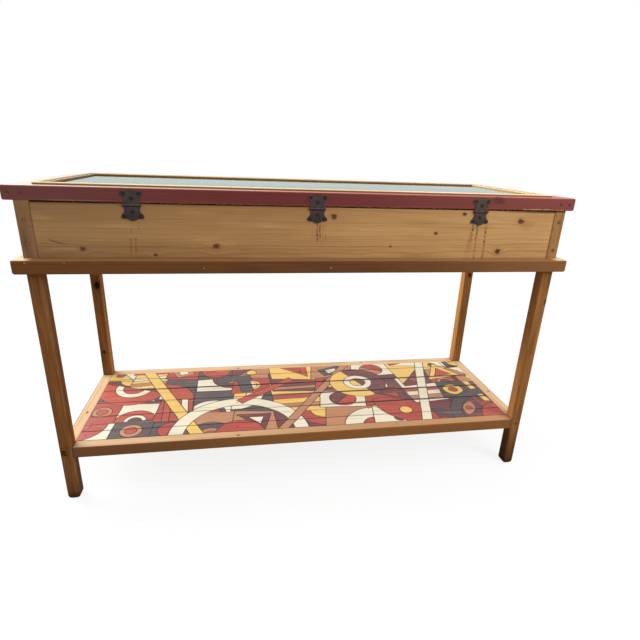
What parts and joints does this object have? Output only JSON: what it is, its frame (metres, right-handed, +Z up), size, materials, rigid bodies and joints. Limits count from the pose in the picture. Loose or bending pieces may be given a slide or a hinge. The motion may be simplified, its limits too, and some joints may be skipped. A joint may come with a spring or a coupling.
{
  "type": "display console table",
  "caption": "Long glass-topped pine display table: a shallow case on square posts with a hinged lid and a low painted plank shelf.",
  "frame": {"origin": "on the floor under the middle of the table", "axes": "+Z up, +X along the length to the right seen from the hinged side, +Y away from the hinged side"},
  "size_m": [1.5, 0.544, 0.912],
  "materials": {
    "post_pine": "satin",
    "belt_pine": "satin",
    "panel_pine": "satin",
    "inner_pine": "matte",
    "floor_board": "matte",
    "shelf_pine": "satin",
    "painted_plank": "satin",
    "red_paint": "satin",
    "moulding_pine": "satin",
    "clear_glass": "gloss",
    "hinge_iron": "matte",
    "steel": "matte"
  },
  "bodies": {
    "table": {"front_left_post": "post_pine", "back_left_post": "post_pine", "front_right_post": "post_pine", "back_right_post": "post_pine", "front_belt_rail": "belt_pine", "back_belt_rail": "belt_pine", "left_belt_rail": "belt_pine", "right_belt_rail": "belt_pine", "front_panel": "panel_pine", "back_panel": "panel_pine", "left_panel": "panel_pine", "right_panel": "panel_pine", "front_cleat": "inner_pine", "back_cleat": "inner_pine", "left_cleat": "inner_pine", "right_cleat": "inner_pine", "case_floor": "floor_board", "shelf_front_board": "shelf_pine", "shelf_back_board": "shelf_pine", "shelf_left_board": "shelf_pine", "shelf_right_board": "shelf_pine", "shelf_bearer_1": "inner_pine", "shelf_bearer_2": "inner_pine", "shelf_bearer_3": "inner_pine", "shelf_bearer_4": "inner_pine", "shelf_plank_1": "painted_plank", "shelf_plank_2": "painted_plank", "shelf_plank_3": "painted_plank", "shelf_plank_4": "painted_plank", "shelf_plank_5": "painted_plank", "shelf_plank_6": "painted_plank", "left_hinge_case_leaf": "hinge_iron", "middle_hinge_case_leaf": "hinge_iron", "right_hinge_case_leaf": "hinge_iron", "left_hinge_pin": "hinge_iron", "middle_hinge_pin": "hinge_iron", "right_hinge_pin": "hinge_iron", "case_hinge_screws": "hinge_iron", "post_screws": "steel", "shelf_screws": "steel", "rail_nails": "steel", "plank_nails": "steel"},
    "lid": {"lid_front_rail": "red_paint", "lid_back_rail": "red_paint", "lid_left_end": "red_paint", "lid_right_end": "red_paint", "front_moulding": "moulding_pine", "back_moulding": "moulding_pine", "left_moulding": "moulding_pine", "right_moulding": "moulding_pine", "lid_glass": "clear_glass", "left_hinge_lid_leaf": "hinge_iron", "middle_hinge_lid_leaf": "hinge_iron", "right_hinge_lid_leaf": "hinge_iron", "lid_hinge_screws": "hinge_iron", "lid_nails": "steel"}
  },
  "joints": [
    {"name": "lid_hinge", "type": "hinge", "parent": "table", "child": "lid", "pos_m": [0, -0.2531, 0.8645], "axis": [1, 0, 0], "range_deg": [0, 180]}
  ]
}
